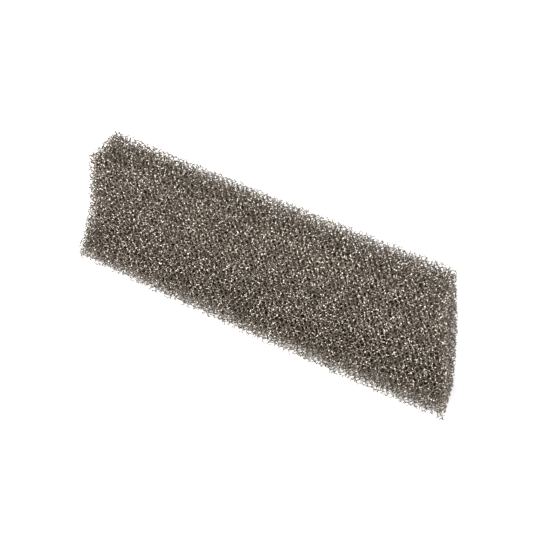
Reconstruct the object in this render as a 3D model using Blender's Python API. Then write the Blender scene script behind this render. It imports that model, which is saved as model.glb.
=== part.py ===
"""A loose filter pad: one block of coarse open-cell foam that stands on its long narrow face.

Metres, +Z up. +X runs along the pad, -Y is its front, and the origin is under the middle of its box.
The block is soft: it was cut by hand, so neither end is square, and its foot has bent forward.
"""

import math

import bmesh
import bpy

# The block as cut
PAD_LENGTH = 0.160  # between the middles of the two ends
PAD_HEIGHT = 0.046
PAD_THICKNESS = 0.020

# How the soft block stands
FOOT_KICK = 0.010  # how far the foot reaches in front of the straight upper part
KICK_HEIGHT = 0.0265  # where the bend towards the foot starts
LENGTH_BOW = 0.001  # how far the middle stands in front of the ends

# The two end cuts: skew turns a cut in plan, lean tips its top towards the middle of the pad
LEFT_SKEW = math.radians(4.6)
LEFT_LEAN = math.radians(5.6)
RIGHT_SKEW = math.radians(17.2)
RIGHT_LEAN = math.radians(6.2)

# How finely the bent faces are cut
STATIONS = 24
LEVELS = 14
SMOOTH_BELOW = math.radians(30)

FOAM_COLOUR = (0.085, 0.072, 0.062, 1.0)
FOAM_ROUGHNESS = 0.85


def clear_scene():
    for old in list(bpy.data.objects):
        bpy.data.objects.remove(old, do_unlink=True)


def foam_material():
    material = bpy.data.materials.new("filter_foam")
    material.use_nodes = True
    shader = material.node_tree.nodes["Principled BSDF"]
    shader.inputs["Base Color"].default_value = FOAM_COLOUR
    shader.inputs["Roughness"].default_value = FOAM_ROUGHNESS
    shader.inputs["Metallic"].default_value = 0.0
    material.diffuse_color = FOAM_COLOUR
    return material


def kick_at(height):
    """How far forward of its straight upper part the block stands at a height."""
    below = max(0.0, 1.0 - height / KICK_HEIGHT)
    return FOOT_KICK * below**2


def bow_at(x):
    """How far forward the block's long bow brings it at a place along it."""
    return LENGTH_BOW * (1.0 - (2.0 * x / PAD_LENGTH) ** 2)


def cross_section():
    """The outline across the pad, as (depth in front, height): down the front and up the back."""
    heights = [PAD_HEIGHT * i / LEVELS for i in range(LEVELS + 1)]
    front = [(kick_at(h) + PAD_THICKNESS / 2, h) for h in reversed(heights)]
    back = [(kick_at(h) - PAD_THICKNESS / 2, h) for h in heights]
    return front + back


def blank_half_length():
    """Half the length of the uncut blank, which is long enough for both slanted cuts."""
    reach = FOOT_KICK + LENGTH_BOW + PAD_THICKNESS
    skew = math.tan(max(abs(LEFT_SKEW), abs(RIGHT_SKEW)))
    lean = math.tan(max(abs(LEFT_LEAN), abs(RIGHT_LEAN)))
    return PAD_LENGTH / 2 + reach * skew + PAD_HEIGHT * lean


def make_blank(bm):
    """The bent block before its ends are cut: one cross section after another along X."""
    outline = cross_section()
    half = blank_half_length()
    rings = []
    for i in range(STATIONS + 1):
        x = half * (2.0 * i / STATIONS - 1.0)
        rings.append([bm.verts.new((x, -front - bow_at(x), z)) for front, z in outline])
    for ring, following in zip(rings, rings[1:]):
        for i, corner in enumerate(ring):
            j = (i + 1) % len(ring)
            bm.faces.new((corner, ring[j], following[j], following[i]))
    bm.faces.new(rings[0])
    bm.faces.new(rings[-1])
    bmesh.ops.recalc_face_normals(bm, faces=bm.faces)


def cut_end(bm, side, skew, lean):
    """Cuts one end with a flat blade. side is -1 for the left end and 1 for the right."""
    middle = (side * PAD_LENGTH / 2, 0.0, PAD_HEIGHT / 2)
    outward = (side, math.tan(skew) * side, math.tan(lean))
    cut = bmesh.ops.bisect_plane(
        bm,
        geom=bm.verts[:] + bm.edges[:] + bm.faces[:],
        plane_co=middle,
        plane_no=outward,
        clear_outer=True,
    )
    rim = [part for part in cut["geom_cut"] if isinstance(part, bmesh.types.BMEdge)]
    bmesh.ops.contextual_create(bm, geom=rim)


def stand_on_origin(bm):
    """Brings the middle of the pad's box over the origin, with its foot at height 0."""
    xs = [v.co.x for v in bm.verts]
    ys = [v.co.y for v in bm.verts]
    middle = (-(min(xs) + max(xs)) / 2, -(min(ys) + max(ys)) / 2, 0.0)
    bmesh.ops.translate(bm, verts=bm.verts, vec=middle)


def make_pad():
    bm = bmesh.new()
    make_blank(bm)
    cut_end(bm, -1, LEFT_SKEW, LEFT_LEAN)
    cut_end(bm, 1, RIGHT_SKEW, RIGHT_LEAN)
    stand_on_origin(bm)
    bmesh.ops.recalc_face_normals(bm, faces=bm.faces)
    mesh = bpy.data.meshes.new("sponge_pad")
    bm.to_mesh(mesh)
    bm.free()
    mesh.shade_smooth()
    mesh.set_sharp_from_angle(angle=SMOOTH_BELOW)
    mesh.materials.append(foam_material())
    pad = bpy.data.objects.new("sponge_pad", mesh)
    bpy.context.scene.collection.objects.link(pad)
    return pad


def main():
    clear_scene()
    make_pad()


main()
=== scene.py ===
# A block of coarse filter foam, built as the real thing is: a net of thin struts that meet four at a time.
import itertools
import math
import bmesh
import bpy
import numpy as np
from mathutils import Euler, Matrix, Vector


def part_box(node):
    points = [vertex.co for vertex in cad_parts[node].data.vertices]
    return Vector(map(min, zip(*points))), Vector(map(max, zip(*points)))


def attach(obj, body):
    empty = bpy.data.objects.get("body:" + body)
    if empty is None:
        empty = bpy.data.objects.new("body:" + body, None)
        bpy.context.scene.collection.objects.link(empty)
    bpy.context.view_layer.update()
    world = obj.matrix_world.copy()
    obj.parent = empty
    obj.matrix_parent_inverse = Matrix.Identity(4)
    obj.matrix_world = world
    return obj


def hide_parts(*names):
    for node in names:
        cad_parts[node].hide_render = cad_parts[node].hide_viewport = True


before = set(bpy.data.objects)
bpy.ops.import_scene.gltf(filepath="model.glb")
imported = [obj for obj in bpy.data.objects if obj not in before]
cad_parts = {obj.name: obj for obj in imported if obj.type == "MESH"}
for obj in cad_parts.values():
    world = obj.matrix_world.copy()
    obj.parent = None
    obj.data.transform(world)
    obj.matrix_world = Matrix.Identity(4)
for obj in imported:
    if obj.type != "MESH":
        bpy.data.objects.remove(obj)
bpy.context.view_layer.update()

# sizes are in metres, except where a note says lattice cubes
foam = {
    "cellSize": 0.00242,  # side of the lattice cube, which holds two cells
    "jointRadius": 0.080,  # how far a joint's corners stand out, in lattice cubes
    "weldCubes": 0.01,  # closer than this, points of neighbouring cubes are one, in lattice cubes
    "weldTile": 0.001,  # the same inside a cube
    "strutReach": (0.01, 0.36),  # struts are 0.354 long, in lattice cubes
    "coverMargin": 1.8,  # cubes this much further out are left empty at once, in lattice cubes
    "sparePlaces": 4,  # lattice cubes more than the pad needs, along each axis
    "turn": (0.62, 0.38, 1.13),  # turns the lattice, so that no row of cells runs along the pad
    "wobble": 0.30,  # how far a joint may stray, in lattice cubes
    "wobbleSize": 1.0,  # length of the stray's waves, in lattice cubes
    "wobbleDetail": 1.0,  # one finer set of waves on top
    "wobbleStep": 2.3,  # how many times finer it is
    "wobbleShare": 1.0,  # how high it is, next to the first
    "seed": 3.0,  # another value gives another net
    "weldAt": 1e-6,  # points closer than this touch
    "smallestPiece": 60,  # faces; anything smaller is a crumb
    "coreDepth": 0.0070,  # the net is left out any deeper, where the struts in front hide it
    "trimMargin": 1.1,  # how far past the pad the net is kept until it is cut, in lattice cubes
}


def newNode(tree, kind, **settings):
    node = tree.nodes.new(kind)
    for name, value in settings.items():
        setattr(node, name, value)
    return node


def plug(tree, value, socket):
    # a link for another node's output, and a plain value for anything else
    if isinstance(value, bpy.types.NodeSocket):
        tree.links.new(value, socket)
    elif value is not None:
        socket.default_value = value


def feed(tree, node, **values):
    # plugs values in by the names of the sockets, with their spaces left out
    for socket in node.inputs:
        key = socket.name.replace(" ", "")
        if key in values and not socket.is_linked:
            plug(tree, values.pop(key), socket)
    assert not values, (node.name, values)
    return node


def maths(tree, operation, a, b=None):
    node = newNode(tree, "ShaderNodeMath", operation=operation)
    plug(tree, a, node.inputs[0])
    plug(tree, b, node.inputs[1])
    return node.outputs[0]


def vectorMaths(tree, operation, a, b=None, scale=None):
    node = newNode(tree, "ShaderNodeVectorMath", operation=operation)
    plug(tree, a, node.inputs[0])
    plug(tree, b, node.inputs[1])
    if operation == "SCALE":  # only then does the node have this socket
        plug(tree, scale, node.inputs["Scale"])
    return node.outputs["Value" if operation == "DOT_PRODUCT" else "Vector"]


def mapRange(tree, value, start, end, low=0.0, high=1.0):
    node = newNode(tree, "ShaderNodeMapRange")
    feed(tree, node, Value=value, FromMin=start, FromMax=end, ToMin=low, ToMax=high)
    return node.outputs["Result"]


def mixColours(tree, share, a, b):
    node = newNode(tree, "ShaderNodeMix", data_type="RGBA")
    feed(tree, node, Factor=share)
    plug(tree, a, node.inputs[6])  # 6, 7 and output 2 are the colour sockets of this node
    plug(tree, b, node.inputs[7])
    return node.outputs[2]


def newTree(name, inputs):
    tree = bpy.data.node_groups.new(name, "GeometryNodeTree")
    tree.is_modifier = True
    tree.interface.new_socket("Geometry", in_out="INPUT", socket_type="NodeSocketGeometry")
    for label, kind in inputs:
        tree.interface.new_socket(label, in_out="INPUT", socket_type="NodeSocket" + kind)
    tree.interface.new_socket("Geometry", in_out="OUTPUT", socket_type="NodeSocketGeometry")
    return tree, tree.nodes.new("NodeGroupInput"), tree.nodes.new("NodeGroupOutput")


def setInputs(modifier, values):
    for item in modifier.node_group.interface.items_tree:
        if item.item_type == "SOCKET" and item.in_out == "INPUT" and item.name in values:
            modifier[item.identifier] = values[item.name]


def latticeJoints():
    # the twelve joints of one cube of the lattice: four on each of the three faces that meet at its origin
    middle, quarters = 0.5, (0.25, 0.75)
    places = []
    for zero in range(3):
        for half, quarter in (((zero + 1) % 3, (zero + 2) % 3), ((zero + 2) % 3, (zero + 1) % 3)):
            for step in quarters:
                place = [0.0, 0.0, 0.0]
                place[half] = middle
                place[quarter] = step
                places.append(Vector(place))
    return places


def latticeStruts(joint, joints):
    # the four struts that leave a joint, each as a vector to the next joint, in this cube or a neighbour
    shortest, longest = foam["strutReach"]
    struts = []
    for other in joints:
        for cube in itertools.product((-1, 0, 1), repeat=3):
            strut = other + Vector(cube) - joint
            if shortest < strut.length < longest:
                struts.append(strut)
    return struts


def cornerBetween(joint, a, b):
    # the corner of a joint that lies between two of its struts
    return joint + (a + b).normalized() * foam["jointRadius"]


def ringOf(joint, strut, struts):
    # the three corners where a strut leaves its joint, each with the direction in which it lies off the strut
    along = strut.normalized()
    ring = []
    for other in struts:
        if (other - strut).length > foam["weldCubes"]:
            side = (other - along * other.dot(along)).normalized()
            ring.append((side, cornerBetween(joint, strut, other)))
    return ring


def addFacing(bm, corners, inside):
    # a face that points away from a place inside the net; each corner comes with the joint it belongs to
    places = [place for place, joint in corners]
    normal = (places[1] - places[0]).cross(places[2] - places[0])
    if normal.dot(sum(places, Vector()) / len(places) - inside) < 0:
        corners = corners[::-1]
    points = []
    for place, joint in corners:
        point = bm.verts.new(place)
        point[bm.verts.layers.float_vector["arm"]] = place - joint
        points.append(point)
    bm.faces.new(points)


def makeTile():
    # one cube of the net: twelve joints and twenty-four three-sided struts, each built from one of its ends
    bm = bmesh.new()
    bm.verts.layers.float_vector.new("arm")
    joints = latticeJoints()
    for joint in joints:
        struts = latticeStruts(joint, joints)
        for strut in struts:
            ring = ringOf(joint, strut, struts)
            a, b, c = [other for other in struts if other is not strut]
            lid = [cornerBetween(joint, *pair) for pair in ((a, b), (b, c), (c, a))]
            addFacing(bm, [(place, joint) for place in lid], joint)  # between the other three struts
            if tuple(strut) < (0.0, 0.0, 0.0):
                continue  # it is built from its other end
            far = joint + strut
            home = Vector([value - math.floor(value + foam["weldAt"]) for value in far])  # in its own cube
            farRing = ringOf(far, -strut, latticeStruts(home, joints))
            along = strut.normalized()
            first = ring[0][0]
            second = along.cross(first)
            ring.sort(key=lambda corner: math.atan2(corner[0].dot(second), corner[0].dot(first)))
            matched = [max(farRing, key=lambda corner: corner[0].dot(side))[1] for side, place in ring]
            for i in range(3):
                j = (i + 1) % 3
                quad = [(ring[i][1], joint), (ring[j][1], joint), (matched[j], far), (matched[i], far)]
                addFacing(bm, quad, joint + strut / 2)
    bmesh.ops.remove_doubles(bm, verts=bm.verts, dist=foam["weldTile"])
    mesh = bpy.data.meshes.new("foamTile")
    bm.to_mesh(mesh)
    bm.free()
    return mesh


def outsideOf(tree, solid):
    # how far a point lies outside a solid; negative inside
    near = newNode(tree, "GeometryNodeProximity", target_element="FACES")
    tree.links.new(solid, near.inputs["Geometry"])
    corners = newNode(tree, "GeometryNodeCaptureAttribute", domain="POINT")
    corners.capture_items.new("VECTOR", "Normal")
    tree.links.new(solid, corners.inputs["Geometry"])
    tree.links.new(tree.nodes.new("GeometryNodeInputNormal").outputs["Normal"], corners.inputs["Normal"])
    facing = newNode(tree, "GeometryNodeSampleNearestSurface", data_type="FLOAT_VECTOR")
    tree.links.new(corners.outputs["Geometry"], facing.inputs["Mesh"])
    tree.links.new(corners.outputs["Normal"], facing.inputs["Value"])
    place = tree.nodes.new("GeometryNodeInputPosition").outputs["Position"]
    away = vectorMaths(tree, "SUBTRACT", place, near.outputs["Position"])
    side = maths(tree, "SIGN", vectorMaths(tree, "DOT_PRODUCT", away, facing.outputs["Value"]))
    return maths(tree, "MULTIPLY", near.outputs["Distance"], side)


def latticeTree():
    tree, given, result = newTree("foamNet", (
        ("Pad", "Object"), ("Cell Size", "Float"), ("Columns", "Vector"), ("Middle", "Vector"),
        ("Turn", "Rotation"), ("Wobble", "Float"), ("Wobble Size", "Float"), ("Seed", "Float"),
        ("Trim Margin", "Float"), ("Core Depth", "Float"),
    ))
    size = given.outputs["Cell Size"]
    pad = newNode(tree, "GeometryNodeObjectInfo", transform_space="ORIGINAL")
    tree.links.new(given.outputs["Pad"], pad.inputs["Object"])
    solid = pad.outputs["Geometry"]
    # the lattice: point number i stands at column, row and layer
    count = newNode(tree, "ShaderNodeSeparateXYZ")
    tree.links.new(given.outputs["Columns"], count.inputs[0])
    index = tree.nodes.new("GeometryNodeInputIndex").outputs["Index"]
    perLayer = maths(tree, "MULTIPLY", count.outputs["X"], count.outputs["Y"])
    total = maths(tree, "MULTIPLY", perLayer, count.outputs["Z"])
    column = maths(tree, "MODULO", index, count.outputs["X"])
    inLayer = maths(tree, "MODULO", index, perLayer)
    row = maths(tree, "FLOOR", maths(tree, "DIVIDE", inLayer, count.outputs["X"]))
    layer = maths(tree, "FLOOR", maths(tree, "DIVIDE", index, perLayer))
    place = newNode(tree, "ShaderNodeCombineXYZ")
    feed(tree, place, X=column, Y=row, Z=layer)
    middle = vectorMaths(tree, "SCALE", given.outputs["Columns"], scale=0.5)
    place = vectorMaths(tree, "SCALE", vectorMaths(tree, "SUBTRACT", place.outputs[0], middle), scale=size)
    turned = newNode(tree, "FunctionNodeRotateVector")
    feed(tree, turned, Vector=place, Rotation=given.outputs["Turn"])
    place = vectorMaths(tree, "ADD", turned.outputs[0], given.outputs["Middle"])
    points = feed(tree, newNode(tree, "GeometryNodePoints"), Count=total, Position=place)
    # only cubes that reach the pad are filled
    outside = outsideOf(tree, solid)
    margin = maths(tree, "MULTIPLY", given.outputs["Trim Margin"], size)
    cover = maths(tree, "ADD", margin, maths(tree, "MULTIPLY", size, foam["coverMargin"]))
    tooFar = maths(tree, "GREATER_THAN", outside, cover)
    kept = newNode(tree, "GeometryNodeDeleteGeometry", domain="POINT")
    feed(tree, kept, Geometry=points.outputs[0], Selection=tooFar)
    cubes = newNode(tree, "GeometryNodeInstanceOnPoints")
    feed(tree, cubes, Points=kept.outputs[0], Instance=given.outputs["Geometry"],
         Rotation=given.outputs["Turn"], Scale=size)
    net = feed(tree, newNode(tree, "GeometryNodeRealizeInstances"), Geometry=cubes.outputs[0])
    net = feed(tree, newNode(tree, "GeometryNodeMergeByDistance"), Geometry=net.outputs[0],
               Distance=maths(tree, "MULTIPLY", size, foam["weldCubes"]))
    # every joint strays from its place, and takes its ends of the struts with it
    arm = newNode(tree, "GeometryNodeInputNamedAttribute", data_type="FLOAT_VECTOR")
    arm.inputs["Name"].default_value = "arm"
    turnedArm = newNode(tree, "FunctionNodeRotateVector")
    feed(tree, turnedArm, Vector=arm.outputs["Attribute"], Rotation=given.outputs["Turn"])
    here = tree.nodes.new("GeometryNodeInputPosition").outputs["Position"]
    joint = vectorMaths(tree, "SUBTRACT", here, vectorMaths(tree, "SCALE", turnedArm.outputs[0], scale=size))
    waves = newNode(tree, "ShaderNodeTexNoise", noise_dimensions="4D", normalize=False)
    scale = maths(tree, "DIVIDE", 1.0, maths(tree, "MULTIPLY", given.outputs["Wobble Size"], size))
    feed(tree, waves, Vector=joint, W=given.outputs["Seed"], Scale=scale, Detail=foam["wobbleDetail"],
         Roughness=foam["wobbleShare"], Lacunarity=foam["wobbleStep"])
    most = maths(tree, "MULTIPLY", given.outputs["Wobble"], size)
    stray = vectorMaths(tree, "SCALE", waves.outputs["Color"], scale=most)
    moved = feed(tree, newNode(tree, "GeometryNodeSetPosition"), Geometry=net.outputs[0], Offset=stray)
    # the part of the net that is well outside the pad goes, and so does the core, which nobody sees
    beyond = maths(tree, "GREATER_THAN", outside, margin)
    inCore = maths(tree, "LESS_THAN", outside, maths(tree, "MULTIPLY", given.outputs["Core Depth"], -1.0))
    cut = newNode(tree, "GeometryNodeDeleteGeometry", domain="FACE")
    feed(tree, cut, Geometry=moved.outputs[0], Selection=maths(tree, "MAXIMUM", beyond, inCore))
    real = feed(tree, newNode(tree, "GeometryNodeRealizeInstances"), Geometry=cut.outputs[0])
    tree.links.new(real.outputs[0], result.inputs[0])
    return tree


def closeEnds(mesh):
    # a lid on every open end of a strut: one new point in the middle of each open ring
    loops = np.empty(len(mesh.loops), np.int64)
    mesh.loops.foreach_get("vertex_index", loops)
    starts = np.empty(len(mesh.polygons), np.int64)
    mesh.polygons.foreach_get("loop_start", starts)
    sizes = np.empty(len(mesh.polygons), np.int64)
    mesh.polygons.foreach_get("loop_total", sizes)
    following = np.arange(len(loops)) + 1
    following[starts + sizes - 1] = starts
    edges = np.stack([loops, loops[following]], axis=1)
    count = len(mesh.vertices)
    keys = edges[:, 0] * count + edges[:, 1]
    back = edges[:, 1] * count + edges[:, 0]
    rim = edges[~np.isin(keys, back)]
    # every point of a ring takes the lowest number on it
    ring = np.arange(count)
    while True:
        low = np.minimum(ring[rim[:, 0]], ring[rim[:, 1]])
        before = ring[rim].sum()
        np.minimum.at(ring, rim[:, 0], low)
        np.minimum.at(ring, rim[:, 1], low)
        if ring[rim].sum() == before:
            break
    rings, which = np.unique(ring[rim[:, 0]], return_inverse=True)
    points = np.empty(count * 3, np.float32)
    mesh.vertices.foreach_get("co", points)
    points = points.reshape(-1, 3)
    middles = np.zeros((len(rings), 3))
    np.add.at(middles, which, points[rim[:, 0]])
    middles /= np.bincount(which)[:, None]
    lids = np.stack([rim[:, 1], rim[:, 0], count + which], axis=1)
    closed = bpy.data.meshes.new("foamClosed")
    closed.vertices.add(count + len(rings))
    closed.vertices.foreach_set("co", np.concatenate([points, middles]).astype(np.float32).ravel())
    closed.loops.add(len(loops) + lids.size)
    closed.loops.foreach_set("vertex_index", np.concatenate([loops, lids.ravel()]))
    closed.polygons.add(len(starts) + len(lids))
    closed.polygons.foreach_set("loop_start", np.concatenate([starts, len(loops) + 3 * np.arange(len(lids))]))
    closed.update(calc_edges=True)
    return closed


def tidyTree():
    # drops crumbs that the cut left hanging in the air, and gives the net its material, with its painted
    # shade and painted glints
    tree, given, result = newTree("foamTidy", (
        ("Pad", "Object"), ("Smallest Piece", "Int"), ("Foam", "Material")))
    island = tree.nodes.new("GeometryNodeInputMeshIsland")
    faces = newNode(tree, "GeometryNodeAccumulateField", data_type="INT", domain="FACE")
    feed(tree, faces, Value=1, GroupID=island.outputs["Island Index"])
    crumb = newNode(tree, "FunctionNodeCompare", data_type="INT", operation="LESS_THAN")
    tree.links.new(faces.outputs["Total"], crumb.inputs[2])  # 2 and 3 are its whole-number sockets
    tree.links.new(given.outputs["Smallest Piece"], crumb.inputs[3])
    net = feed(tree, newNode(tree, "GeometryNodeDeleteGeometry", domain="FACE"),
               Geometry=given.outputs["Geometry"], Selection=crumb.outputs[0])
    # how deep each strut lies in the pad, which sets the painted shade and fades the painted glints
    pad = newNode(tree, "GeometryNodeObjectInfo", transform_space="ORIGINAL")
    tree.links.new(given.outputs["Pad"], pad.inputs["Object"])
    depth = newNode(tree, "GeometryNodeProximity", target_element="FACES")
    tree.links.new(pad.outputs["Geometry"], depth.inputs["Geometry"])
    net = feed(tree, newNode(tree, "GeometryNodeStoreNamedAttribute", data_type="FLOAT", domain="POINT"),
               Geometry=net.outputs[0], Name="depth", Value=depth.outputs["Distance"])
    net = feed(tree, newNode(tree, "GeometryNodeSetShadeSmooth", domain="FACE"), Geometry=net.outputs[0])
    net = feed(tree, newNode(tree, "GeometryNodeRealizeInstances"), Geometry=net.outputs[0])
    net = feed(tree, newNode(tree, "GeometryNodeSetMaterial"), Geometry=net.outputs[0],
               Material=given.outputs["Foam"])
    tree.links.new(net.outputs[0], result.inputs[0])
    return tree


def addObject(name, data):
    added = bpy.data.objects.new(name, data)
    bpy.context.scene.collection.objects.link(added)
    return added


def bakeDown(piece, name):
    # the piece as its modifiers leave it, as a plain mesh
    shown = piece.evaluated_get(bpy.context.evaluated_depsgraph_get())
    mesh = bpy.data.meshes.new_from_object(shown)
    mesh.name = name
    return mesh


def rubCorner(bm):
    # the free corner of the foot is rubbed round, so its points draw back towards the middle of the pad
    rubbed = {"reach": 0.0038, "depth": 0.0018, "inwards": (1.0, 0.0, 0.0)}
    foot = [v.co.copy() for v in bm.verts if v.co.z < foam["weldAt"]]
    corner = min(foot, key=lambda co: co.x + co.y)
    for v in bm.verts:
        near = 1 - (v.co - corner).length / rubbed["reach"]
        if near > 0:
            v.co += Vector(rubbed["inwards"]) * rubbed["depth"] * near**2


def padSolid():
    # the outer shape of the pad, from its solid, with its loose triangles joined
    bm = bmesh.new()
    bm.from_mesh(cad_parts["sponge_pad"].data)
    bmesh.ops.remove_doubles(bm, verts=bm.verts, dist=foam["weldAt"])
    rubCorner(bm)
    mesh = bpy.data.meshes.new("padSolid")
    bm.to_mesh(mesh)
    bm.free()
    return addObject("padSolid", mesh)


def columnsOver(solid):
    # how many lattice cubes it takes along each of the turned axes to cover the pad
    turn = Euler(foam["turn"]).to_matrix()
    count = []
    for axis in range(3):
        along = [(turn.transposed() @ v.co)[axis] for v in solid.data.vertices]
        count.append(float(math.ceil((max(along) - min(along)) / foam["cellSize"]) + foam["sparePlaces"]))
    return count


def makeFoam(foamMaterial):
    solid = padSolid()
    low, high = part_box("sponge_pad")
    net = addObject("foamNet", makeTile())
    grow = net.modifiers.new("grow", "NODES")
    grow.node_group = latticeTree()
    setInputs(grow, {
        "Pad": solid,
        "Cell Size": foam["cellSize"],
        "Columns": columnsOver(solid),
        "Middle": list((Vector(low) + Vector(high)) / 2),
        "Turn": list(foam["turn"]),
        "Wobble": foam["wobble"],
        "Wobble Size": foam["wobbleSize"],
        "Seed": foam["seed"],
        "Trim Margin": foam["trimMargin"],
        "Core Depth": foam["coreDepth"],
    })
    grown = bakeDown(net, "foamGrown")
    print("foam net grown:", len(grown.polygons), "faces")
    bpy.data.objects.remove(net)
    piece = addObject("sponge_foam", closeEnds(grown))
    knife = piece.modifiers.new("knife", "BOOLEAN")
    knife.operation = "INTERSECT"
    knife.solver = "MANIFOLD"
    knife.object = solid
    tidy = piece.modifiers.new("tidy", "NODES")
    tidy.node_group = tidyTree()
    setInputs(tidy, {"Pad": solid, "Smallest Piece": foam["smallestPiece"], "Foam": foamMaterial})
    mesh = bakeDown(piece, "sponge_foam")
    piece.modifiers.clear()
    piece.data = mesh
    bpy.data.objects.remove(solid)
    print("foam cut to the pad:", len(mesh.polygons), "faces")
    return piece


def foamColourAndPaintedLight():
    # the foam's own colour and tone, with painted shade deep in the net and painted glints near the surface
    look = {
        "outer": (0.083, 0.059, 0.038, 1),
        "inner": (0.019, 0.0135, 0.0088, 1),  # painted shade deep in the net, where the struts in front keep the light out
        "deepAt": 0.0040,  # how deep the full painted shade starts
        "speck": (1.0, 0.90, 0.77, 1),  # painted glints: bright dots that stand in for light caught on joints and cut strut ends
        "speckStrength": (0.0, 1.35),  # from the faintest speck to the brightest
        "speckGap": 0.0008,  # from one speck to the next
        "speckEdge": 0.42,  # from the middle of a speck, in gaps
        "speckHeart": 0.30,  # inside this it is as bright as it gets
        "patchSize": 0.016,  # slow changes in tone
        "patchDetail": 2.0,
        "patchRange": (0.3, 0.7),  # the noise runs between these
        "patchTone": (0.90, 1.0),  # brightness, from one patch to the next
        "shine": (0.25, 0.45),  # roughness, in step with the tone
    }
    material = bpy.data.materials.new("filterFoam")
    material.use_nodes = True
    tree = material.node_tree
    shader = tree.nodes["Principled BSDF"]
    where = tree.nodes.new("ShaderNodeTexCoord").outputs["Object"]
    # painted shade: struts turn darker the deeper they lie in the pad
    depth = newNode(tree, "ShaderNodeAttribute", attribute_name="depth")
    shade = mapRange(tree, depth.outputs["Fac"], 0.0, look["deepAt"])
    patches = newNode(tree, "ShaderNodeTexNoise")
    feed(tree, patches, Vector=where, Scale=1 / look["patchSize"], Detail=look["patchDetail"])
    tone = mapRange(tree, patches.outputs["Fac"], *look["patchRange"], *look["patchTone"])
    strut = mixColours(tree, shade, look["outer"], look["inner"])
    black = (0, 0, 0, 1)
    strut = mixColours(tree, tone, black, strut)
    # painted glints: bright dots that fade with depth, and each has its own strength
    glints = newNode(tree, "ShaderNodeTexVoronoi", feature="F1")
    feed(tree, glints, Vector=where, Scale=1 / look["speckGap"])
    lit = mapRange(tree, glints.outputs["Distance"], look["speckEdge"], look["speckHeart"])
    near = maths(tree, "SUBTRACT", 1.0, shade)
    chance = newNode(tree, "ShaderNodeSeparateColor")
    tree.links.new(glints.outputs["Color"], chance.inputs["Color"])
    strength = mapRange(tree, chance.outputs["Red"], 0.0, 1.0, *look["speckStrength"])
    share = maths(tree, "MULTIPLY", maths(tree, "MULTIPLY", lit, near), strength)
    strut = mixColours(tree, share, strut, look["speck"])
    tree.links.new(strut, shader.inputs["Base Color"])
    gloss = mapRange(tree, patches.outputs["Fac"], *look["patchRange"], *look["shine"])
    tree.links.new(gloss, shader.inputs["Roughness"])
    return material


def makeFloor():
    floor = {"side": 6.0, "colour": (0.92, 0.92, 0.92, 1), "roughness": 0.9, "specular": 0.0}
    bm = bmesh.new()
    bmesh.ops.create_grid(bm, x_segments=1, y_segments=1, size=floor["side"] / 2)
    mesh = bpy.data.meshes.new("studioFloor")
    bm.to_mesh(mesh)
    bm.free()
    material = bpy.data.materials.new("studioWhite")
    material.use_nodes = True
    shader = material.node_tree.nodes["Principled BSDF"]
    shader.inputs["Base Color"].default_value = floor["colour"]
    shader.inputs["Roughness"].default_value = floor["roughness"]
    shader.inputs["Specular IOR Level"].default_value = floor["specular"]
    mesh.materials.append(material)
    ground = addObject("studioFloor", mesh)


def aimAt(holder, place, target):
    holder.location = place
    holder.rotation_euler = (Vector(target) - holder.location).to_track_quat("-Z", "Y").to_euler()


def addLight(name, place, target, across, power):
    lamp = bpy.data.lights.new(name, "AREA")
    lamp.shape = "DISK"
    lamp.size = across
    lamp.energy = power
    aimAt(addObject(name, lamp), place, target)


def lightStudio():
    studio = {
        "sky": 1.12, "skyColour": (1, 1, 1, 1),  # white all round, a little brighter than full
        "aim": (0, 0, 0.02),
        "across": 0.35,  # both lamps are disks of this size
        "keyPlace": (-0.15, -0.85, 0.75), "keyPower": 19.0,
        "fillPlace": (0.8, -0.3, 0.7), "fillPower": 5.0,
    }
    world = bpy.data.worlds.new("studio")
    world.use_nodes = True
    world.node_tree.nodes["Background"].inputs["Color"].default_value = studio["skyColour"]
    world.node_tree.nodes["Background"].inputs["Strength"].default_value = studio["sky"]
    bpy.context.scene.world = world
    addLight("keyLight", studio["keyPlace"], studio["aim"], studio["across"], studio["keyPower"])
    addLight("fillLight", studio["fillPlace"], studio["aim"], studio["across"], studio["fillPower"])
    bpy.context.scene.view_settings.view_transform = "Standard"


def addCamera():
    view = {
        "azimuth": 33.26, "elevation": 41.43,  # degrees round from the front, and above it
        "distance": 0.6005, "target": (-0.0032, 0.0055, 0.023),
        "aimRight": 0.00267, "aimDown": 0.0070,  # it looks a little past its target
        "lens": 102.6, "sensor": 36,  # millimetres
        "nearest": 0.01,
    }
    turn = math.radians(view["azimuth"])
    tilt = math.radians(view["elevation"])
    ahead = Vector((-math.sin(turn) * math.cos(tilt), math.cos(turn) * math.cos(tilt), -math.sin(tilt)))
    right = ahead.cross(Vector((0, 0, 1))).normalized()
    up = right.cross(ahead)
    target = Vector(view["target"])
    aim = target + right * view["aimRight"] - up * view["aimDown"]
    lens = bpy.data.cameras.new("camera")
    lens.lens = view["lens"]
    lens.sensor_width = view["sensor"]
    lens.clip_start = view["nearest"]
    camera = addObject("camera", lens)
    aimAt(camera, target - ahead * view["distance"], aim)
    bpy.context.scene.camera = camera


def main():
    addCamera()
    lightStudio()
    makeFloor()
    print("studio ready")
    piece = makeFoam(foamColourAndPaintedLight())
    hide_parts("sponge_pad")
    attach(piece, "root")
    print("pieces placed")


main()
